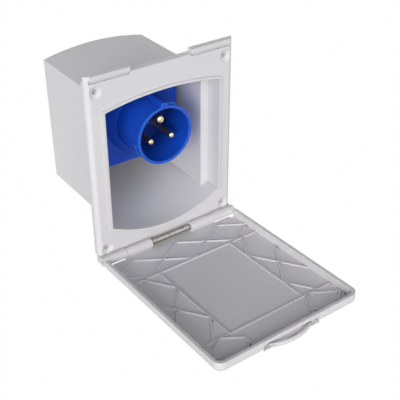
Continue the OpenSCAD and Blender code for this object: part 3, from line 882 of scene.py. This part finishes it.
class INLET_OT_shell(bpy.types.Operator):
    """Moulds the housing's lips and floor and the lid's recess, and gives both the grey finish"""

    bl_idname = "inlet.shell"
    bl_label = "Housing and lid"

    # All in millimetres. The plate: its face, back and top, then how its side and top edges round.
    face_y, wall_y, plate_top = -6.5, -0.05, 78.0
    edge, top_round, edge_steps, top_steps = 4.0, 0.7, 8, 4
    # The rain lips: their front, foot and back, and how far from the middle they begin.
    lip_y, lip_z, lip_back = -8.0, 78.7, -2.6
    lip_left, lip_right = 29.0, 25.5
    # Going out from the middle, the solid is still bare at one place and has its lip at the other.
    lip_bare, lip_whole = 28.0, 30.0
    # The right lip's longer end: its root against the plate and its overhang.
    root_front, root_back, root_foot = -6.4, -2.5, 74.0
    hang_front, hang_back = -9.0, -4.0
    # The fine line under the lips: its depth, its foot and where it begins on the left.
    line_y, line_z, line_left = -5.4, 76.1, 63.0
    # The filled top corners and the squared top edge.
    fill_z, fill_width, top_back = 74.2, 9.0, -2.4
    # The level under which the floor is made anew.
    floor_top = -48.0
    # How far cuts reach past the solid, a place in front of all of it, and a hair's breadth.
    past, overlap, ahead, hair = 1.0, 0.5, -11.0, 0.01

    # The lid, across, along and up from the hinge pin's middle: corners of blocks, then each
    # rib's two ends and its width, and the foot and rise of all ribs.
    ledge = ((-25.9, 150.5, -5.5), (25.9, 155.1, -4.35))
    recess_back = ((-25.95, 152.0, -4.4), (25.95, 152.9, 0.6))
    recess_roof = ((-25.95, 152.1, -0.8), (25.95, 157.0, 0.55))
    ribs = {
        "corner_rib": ((63.2, 138.4), (52.5, 146.8), 2.0),
        "stop_rib": ((27.5, 142.3), (33.5, 146.2), 1.3),
    }
    rib_foot, rib_rise = -4.5, 1.3

    def execute(self, context):
        grey = grey_moulding(sizes().shell_edge)
        for node, piece in (("housing", self.housing()), ("lid", self.lid())):
            paint(piece.data, grey)
            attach(piece, body_of(node))
            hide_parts(node)
        return {"FINISHED"}

    def housing(self):
        """The housing with low rain lips, filled top corners and a floor that sags to the front."""
        _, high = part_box("housing")
        half, top = high.x / MM, high.z / MM
        side, above = half + self.past, top + self.past
        added = [
            self.corner("corner_left", -half, top),
            self.corner("corner_right", half, top),
            self.top_edge("top_edge"),
            block(
                "lip_root",
                (self.lip_right, self.root_front, self.root_foot),
                (self.lip_whole, self.root_back, top),
            ),
            block(
                "lip_end",
                (self.lip_right, self.hang_front, self.lip_z),
                (self.lip_whole, self.hang_back, top),
            ),
            *self.basins(SAGS_UNDER, self.floor_top),
        ]
        cut = [
            block(
                "lip_front",
                (-side, self.ahead, self.lip_z - self.overlap),
                (side, self.lip_y, above),
            ),
            block("lip_back", (-side, self.lip_back, self.plate_top), (side, self.past, above)),
            self.trim("trim_left", -half, top),
            self.trim("trim_right", half, top),
            block(
                "line_left",
                (-self.line_left, self.ahead, self.line_z),
                (-self.lip_left, self.line_y, self.lip_z),
            ),
            block(
                "line_right",
                (self.lip_right, self.ahead, self.line_z),
                (side, self.line_y, self.lip_z),
            ),
            block(
                "lip_end_left",
                (-self.lip_left, self.ahead, self.lip_z),
                (-self.lip_bare, self.overlap, above),
            ),
            *self.basins(SAGS_ABOVE, self.floor_top + self.past),
        ]
        return shaped("housing", "housing_moulded", added, cut)

    @staticmethod
    def basins(sags, top):
        """Solids through the named rows of sections, each up to a level top."""
        return [
            lofted(name, [section.ring(top) for section in sections])
            for name, sections in sags.items()
        ]

    def side_edge(self, side):
        """The plate's rounded side edge, seen from above, from its side to its face."""
        sign = math.copysign(1, side)
        return [
            (
                side - sign * self.edge * (1 - math.cos(a)),
                self.face_y + self.edge * (1 - math.sin(a)),
            )
            for a in quarter(self.edge_steps)
        ]

    def top_edge(self, name):
        """Squares the plate's top edge between the rain lips, with a small rounding."""
        face, top = self.face_y + self.hair, self.plate_top - self.hair
        back, reach = self.top_back, self.lip_whole
        bend = [
            (face + self.top_round * (1 - math.sin(a)), top - self.top_round * (1 - math.cos(a)))
            for a in quarter(self.top_steps)
        ]
        points = [(back, self.fill_z), (back, top), *bend, (face, self.fill_z)]
        outline = [Vector((-reach, y, z)) * MM for y, z in points]
        return prism(name, outline, Vector(), Vector((2 * reach, 0, 0)) * MM)

    def corner(self, name, side, top):
        """Carries the plate's rounded side edge straight up to the end of a rain lip."""
        inner = side - math.copysign(self.fill_width, side)
        back = [(inner, self.wall_y), (side, self.wall_y)]
        points = [*back, *self.side_edge(side), (inner, self.face_y)]
        return self.upright(name, points, self.fill_z, top)

    def trim(self, name, side, top):
        """What stands outside the plate's rounded side edge."""
        outer = side + math.copysign(self.past, side)
        edge = self.side_edge(side)
        front = [(edge[-1][0], self.ahead), (outer, self.ahead)]
        points = [*edge, *front, (outer, edge[0][1])]
        return self.upright(name, points, self.fill_z - self.overlap, top + self.past)

    @staticmethod
    def upright(name, points, bottom, top):
        """A solid that stands on an outline seen from above, in millimetres."""
        outline = [Vector((x * MM, y * MM, 0)) for x, y in points]
        rise = Vector((0, 0, (top - bottom) * MM))
        return prism(name, outline, Vector((0, 0, bottom * MM)), rise)

    def lid(self):
        """The lid with a deeper finger recess, a ledge under it and short ribs at its corners."""
        low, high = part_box("hinge_pin")
        middle = (low + high) / 2
        ways = {
            "across": ACROSS,
            "along": Vector((0, -math.cos(LID_TILT), math.sin(LID_TILT))),
            "up": Vector((0, math.sin(LID_TILT), math.cos(LID_TILT))),
            "origin": Vector((0, middle.y, middle.z)),
        }
        added = [block("ledge", *self.ledge, **ways)]
        for side in (-1, 1):
            for name, (start, end, width) in self.ribs.items():
                ends = [Vector((side * x, y)) for x, y in (start, end)]
                added.append(self.rib(name, *ends, width, **ways))
        cut = [
            block("recess_back", *self.recess_back, **ways),
            block("recess_roof", *self.recess_roof, **ways),
        ]
        return shaped("lid", "lid_moulded", added, cut)

    def rib(self, name, start, end, width, across, along, up, origin):
        """A low rib on the lid's floor between two places across and along it."""
        half = (end - start).orthogonal().normalized() * width / 2
        ring = [start + half, end + half, end - half, start - half]
        outline = [(point.x * across + point.y * along) * MM for point in ring]
        return prism(name, outline, origin + self.rib_foot * MM * up, self.rib_rise * MM * up)


class INLET_OT_socket(bpy.types.Operator):
    """Gives the blue inlet and the contact carrier their plastics"""

    bl_idname = "inlet.socket"
    bl_label = "Blue inlet"

    def execute(self, context):
        edge = sizes().inlet_edge
        dress(blue_moulding(edge), "inlet_body")
        black = plain_moulding("black_moulding", finishes().black, rough=0.5, edge=edge)
        dress(black, "contact_carrier")
        return {"FINISHED"}


class INLET_OT_contacts(bpy.types.Operator):
    """Gives the contact pins their turned brass"""

    bl_idname = "inlet.contacts"
    bl_label = "Contact pins"

    def execute(self, context):
        dress(turned_brass(), "earth_pin", "line_pin", "neutral_pin")
        return {"FINISHED"}


class INLET_OT_screws(bpy.types.Operator):
    """Gives the terminal and flange screws their zinc plate"""

    bl_idname = "inlet.screws"
    bl_label = "Screws"

    def execute(self, context):
        screws = [node for node in frame["nodes"] if "screw" in node]
        dress(zinc_plate(sizes().screw_edge), *screws)
        return {"FINISHED"}


class INLET_OT_hinge(bpy.types.Operator):
    """Winds the torsion spring on the hinge pin and gives both their steel"""

    bl_idname = "inlet.hinge"
    bl_label = "Hinge spring"

    # Points in each turn of the coil and in the leg's bend, and flats round the wire.
    turn_steps, bend_steps, wire_sides = 24, 6, 10
    # The leg in the lid's knuckle, the radius of its bend, and how far it stands out of the coil.
    leg_in, bend, leg_out = 4 * MM, 1 * MM, 2.2 * MM

    def execute(self, context):
        steel = drawn_steel()
        dress(steel, "hinge_pin")
        low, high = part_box("hinge_pin")
        axis = (low + high) / 2
        path = self.path(axis)
        spring = swept_wire("lid_spring_wound", path, sizes().wire, self.wire_sides, steel)
        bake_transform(spring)
        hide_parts("lid_spring")
        return {"FINISHED"}

    def path(self, axis):
        """The wire's centre line: a leg in the lid's knuckle, the coil, a leg under the plate."""
        _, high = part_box("lid_spring")
        radius, turns, bend = sizes().coil / 2, sizes().turns, self.bend
        self.right = high.x - sizes().wire / 2
        self.left = -self.right
        down = Vector((0, -math.sin(LID_TILT), -math.cos(LID_TILT)))
        out = Vector((0, -math.cos(LID_TILT), math.sin(LID_TILT)))
        root = Vector((self.left, axis.y, axis.z)) + radius * down
        corner = root + (self.leg_out - bend) * out - bend * ACROSS
        points = [corner + bend * out - self.leg_in * ACROSS]
        for a in quarter(self.bend_steps):
            points.append(corner + bend * (math.cos(a) * out + math.sin(a) * ACROSS))
        count = turns * self.turn_steps
        for i in range(count + 1):
            share = i / count
            a = math.radians(-90) - LID_TILT + share * (2 * math.pi * turns + LID_TILT)
            x = self.left + share * (self.right - self.left)
            round_axis = (axis.y + radius * math.cos(a), axis.z + radius * math.sin(a))
            points.append(Vector((x, *round_axis)))
        points.append(Vector((self.right, high.y, axis.z - radius)))
        return points


class INLET_OT_gland(bpy.types.Operator):
    """Gives the cable gland's pieces their plastic and rubber"""

    bl_idname = "inlet.gland"
    bl_label = "Cable gland"

    def execute(self, context):
        edge = sizes().gland_edge
        pale = plain_moulding("pale_moulding", finishes().pale, rough=0.42, edge=edge)
        rubber = plain_moulding("black_rubber", finishes().rubber, rough=0.68, edge=edge)
        dress(pale, "gland_body", "gland_locknut", "gland_cap")
        dress(rubber, "gland_washer", "gland_seal")
        return {"FINISHED"}


OPERATORS = (
    INLET_OT_shell,
    INLET_OT_socket,
    INLET_OT_contacts,
    INLET_OT_screws,
    INLET_OT_hinge,
    INLET_OT_gland,
    INLET_OT_stage,
)


class INLET_PT_panel(bpy.types.Panel):
    """Lists the steps that dress the inlet"""

    bl_idname = "INLET_PT_panel"
    bl_label = "Mains inlet"
    bl_space_type = "VIEW_3D"
    bl_region_type = "UI"
    bl_category = "Inlet"

    def draw(self, context):
        for operator in OPERATORS:
            self.layout.operator(operator.bl_idname)


GROUPS = {
    "inlet_sizes": InletSizes,
    "inlet_finishes": InletFinishes,
    "inlet_stage": InletStage,
}


def register():
    for item in (*GROUPS.values(), *OPERATORS, INLET_PT_panel):
        bpy.utils.register_class(item)
    for name, group in GROUPS.items():
        setattr(bpy.types.Scene, name, bpy.props.PointerProperty(type=group))


def unregister():
    for name in GROUPS:
        delattr(bpy.types.Scene, name)
    for item in reversed((*GROUPS.values(), *OPERATORS, INLET_PT_panel)):
        bpy.utils.unregister_class(item)


def main():
    register()
    for operator in OPERATORS:
        group, name = operator.bl_idname.split(".")
        getattr(getattr(bpy.ops, group), name)()


if __name__ == "__main__":
    main()
